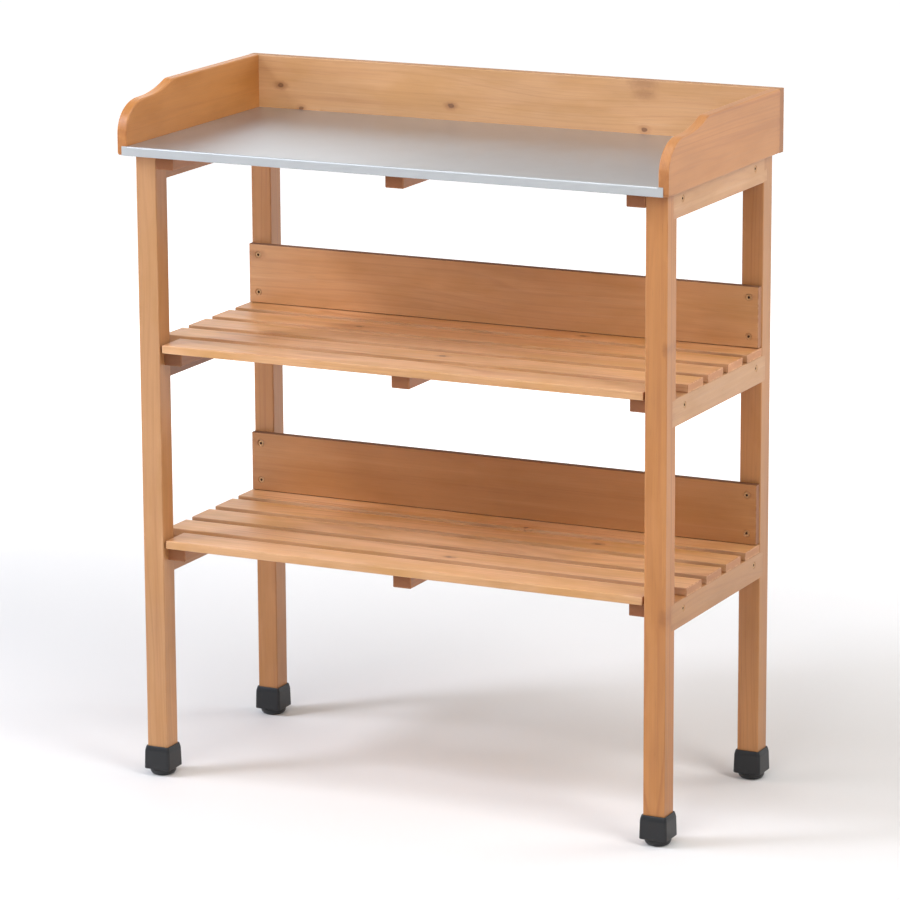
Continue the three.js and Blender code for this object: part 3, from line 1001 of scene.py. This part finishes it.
def foot_cap(name, material):
    """A square sleeve with a socket for the leg, and the pad under it."""
    low, high = box_of(name)
    centre = (low + high) / 2
    half = (high.x - low.x) / 2
    bottom = low.z + CAP_BOTTOM
    top = high.z
    rings = [(half - inset, corner, bottom + height) for inset, corner, height in SLEEVE_FOOT]
    rings += [(half - inset, corner, top + height) for inset, corner, height in SLEEVE_TOP]
    rings += [
        (SOCKET_HALF + 0.0005, 0.0009, top),
        (SOCKET_HALF, 0.0006, top - 0.0005),
        (SOCKET_HALF, 0.0006, bottom + SOCKET_FLOOR),
    ]
    bm = bmesh.new()
    loops = [[bm.verts.new(p) for p in rounded_square(h, c, z, centre)] for h, c, z in rings]
    for below, above in zip(loops, loops[1:]):
        join_rings(bm, below, above)
    bm.faces.new(list(reversed(loops[0])))
    bm.faces.new(loops[-1])
    bmesh.ops.recalc_face_normals(bm, faces=bm.faces)
    pad = lathe(PAD_PROFILE, PAD_SIDES, Vector((centre.x, centre.y, low.z)), UP)
    bm.from_mesh(finish_mesh(pad, "pad"))
    piece = link("cap_" + name, finish_mesh(bm, name))
    piece.data.materials.append(material)
    keep_faces_flat(piece)
    stand_in(piece, name)


# ---------------------------------------------------------------- the bench

SIDES = ("left", "right")
SHELVES = ("middle", "lower")
PLACES = ("front_left", "front_right", "back_left", "back_right")
SLATS = range(1, 6)
FRONT_SLAT = 1

# A board's own axes, as which of the bench's run along its grain, across its face and through it.
ALONG_X_FLAT = (0, 1, 2)
ALONG_X_UPRIGHT = (0, 2, 1)
ALONG_Y_FLAT = (1, 0, 2)
ALONG_Y_UPRIGHT = (1, 2, 0)
UPRIGHT = (2, 0, 1)

# The boards that differ from the rest in tone, colour, knots or stains; some of these tones are painted
# shade, as marked.
LOOKS = {
    "leg_front_left": dict(tone=0.97, warmth=0.10),
    "leg_front_right": dict(tone=0.93, warmth=0.52, lines=1.8, stains=[(220, 12, 6), (-127, 11, 9)]),
    "leg_back_left": dict(tone=0.85, warmth=0.36),
    "leg_back_right": dict(tone=0.90, warmth=0.38),
    "tray_back_board": dict(
        tone=1.01, warmth=-0.08, sawn=0.35,
        knots=[(-342, 2, 2.6), (-311, -28, 2.3), (-84, -10, 2.6), (199, -24, 2.6)],
        stains=[(199, 24, 12), (197, 38, 15), (-342, 2, 8), (-84, -10, 7)],
    ),
    "tray_side_left": dict(tone=0.96, warmth=0.60, honey=0.8, lines=0.5, ends=0.1),
    "tray_side_right": dict(tone=0.92, warmth=0.54, ends=0.35),
    "tray_base_panel": dict(tone=0.9),
    # The left rails' lower tones are painted shade, darkest on rail_middle_left under the middle shelf.
    "rail_top_left": dict(tone=0.85, warmth=0.15),
    "rail_middle_left": dict(tone=0.52, warmth=0.50),
    "rail_lower_left": dict(tone=0.85, warmth=0.15),
    "rail_lower_right": dict(tone=0.86, warmth=0.25),
    # Painted shade: this cleat is darkened further for the shade under the middle shelf's slats.
    "middle_shelf_cleat_left": dict(tone=0.62),
    "middle_shelf_slat_2": dict(knots=[(20, 3, 2.8)], stains=[(-303, 17, 16), (20, 3, 8)]),
    "middle_shelf_slat_3": dict(stains=[(-249, -20, 16)]),
    "middle_shelf_slat_4": dict(knots=[(-165, -4, 2.4)], stains=[(-176, -4, 20)]),
    "middle_shelf_slat_5": dict(knots=[(134, -3, 2.8)], stains=[(134, -3, 8)]),
    "lower_shelf_slat_2": dict(knots=[(34, -9, 2.6)], stains=[(34, -9, 8)]),
    "lower_shelf_slat_4": dict(knots=[(183, 3, 2.8)], stains=[(183, 3, 9)]),
    "lower_shelf_slat_5": dict(knots=[(59, -22, 2.4)]),
    "middle_shelf_back_board": dict(
        tone=1.09, warmth=0.05, lines=0.6, sawn=0.75, stains=[(-365, 27, 10), (364, 27, 5)],
    ),
    # Painted shade: the lower back board is darker and redder for the shade under the middle shelf.
    "lower_shelf_back_board": dict(
        tone=0.84, warmth=0.35, lines=0.7, sawn=0.75, stains=[(-365, 27, 6), (364, 27, 5)],
    ),
}
SEEDS = iter(range(3, 100))

# The darkest and lightest colours of the screws, linear, and of the painted shade in their recesses.
ZINC = ((0.42, 0.21, 0.085, 1), (0.62, 0.38, 0.18, 1))
RECESS_SHADE = ((0.045, 0.018, 0.008, 1), (0.100, 0.042, 0.018, 1))


def look_of(name, **usual):
    """A board's look: a seed of its own, what is usual for its kind, and what it differs in."""
    return {"seed": next(SEEDS), **usual, **LOOKS.get(name, {})}


def slat_look(shelf, name, number):
    """The slats are paler than the rest, those of the middle shelf most, and the front ones least; this
    paleness is painted light. The inner slats' front faces get more painted shade than the front slat's.
    """
    in_front = number == FRONT_SLAT
    tone = (1.32 if in_front else 1.44) + 0.05 * math.sin(number * 2.1 + len(shelf))
    if shelf == "middle" and not in_front:
        tone += 0.17
    return look_of(name, tone=tone, warmth=-0.14, lines=2.0, honey=0.8, sawn=0.15 if in_front else 0.45)


def add_legs():
    for place in PLACES:
        board("leg_" + place, UPRIGHT, look_of("leg_" + place), edge=1.6)
    black = cap_material()
    for place in PLACES:
        foot_cap("foot_cap_" + place, black)


def add_rails():
    for level in ("top", "middle", "lower"):
        for side in SIDES:
            name = f"rail_{level}_{side}"
            screws = [f"screw_{name}_{end}" for end in ("front", "back")]
            board(name, ALONG_Y_UPRIGHT, look_of(name), screws=screws)


def add_shelf(shelf):
    for number in SLATS:
        name = f"{shelf}_shelf_slat_{number}"
        board(name, ALONG_X_FLAT, slat_look(shelf, name, number), edge=1.2, end=0.9)
    name = f"{shelf}_shelf_back_board"
    screws = [f"screw_back_board_{shelf}_{side}_{height}" for side in SIDES for height in ("low", "high")]
    board(name, ALONG_X_UPRIGHT, look_of(name), edge=1.2, end=1.2, screws=screws)


def add_cleats():
    for prefix in ("middle_shelf", "lower_shelf", "tray"):
        for place in ("left", "center", "right"):
            name = f"{prefix}_cleat_{place}"
            # The cleats' low tone and high warmth are painted shade, for the shade they sit in under the
            # slats and the tray.
            board(name, ALONG_Y_FLAT, look_of(name, tone=0.79, warmth=0.46), edge=1.2)


def add_tray():
    for side in SIDES:
        tray_side(f"tray_side_{side}", look_of(f"tray_side_{side}"))
    board("tray_back_board", ALONG_X_UPRIGHT, look_of("tray_back_board"))
    board("tray_base_panel", ALONG_X_FLAT, look_of("tray_base_panel"), edge=0.4, end=0.4)
    metal_sheet("metal_top_sheet")


def add_screws():
    zinc = screw_material("yellow_zinc", *ZINC)
    recess_shade = screw_material("screw_recess_shade", *RECESS_SHADE)
    for name in sorted(NODES):
        if name.startswith("screw_"):
            add_screw(name, zinc, recess_shade)


add_camera()
add_room()
add_floor()
for box_name, box_settings in SOFT_BOXES.items():
    add_soft_box(box_name, *box_settings)

WOOD_GROUP = build_wood_group()
add_legs()
add_rails()
for shelf_name in SHELVES:
    add_shelf(shelf_name)
add_cleats()
add_tray()
add_screws()
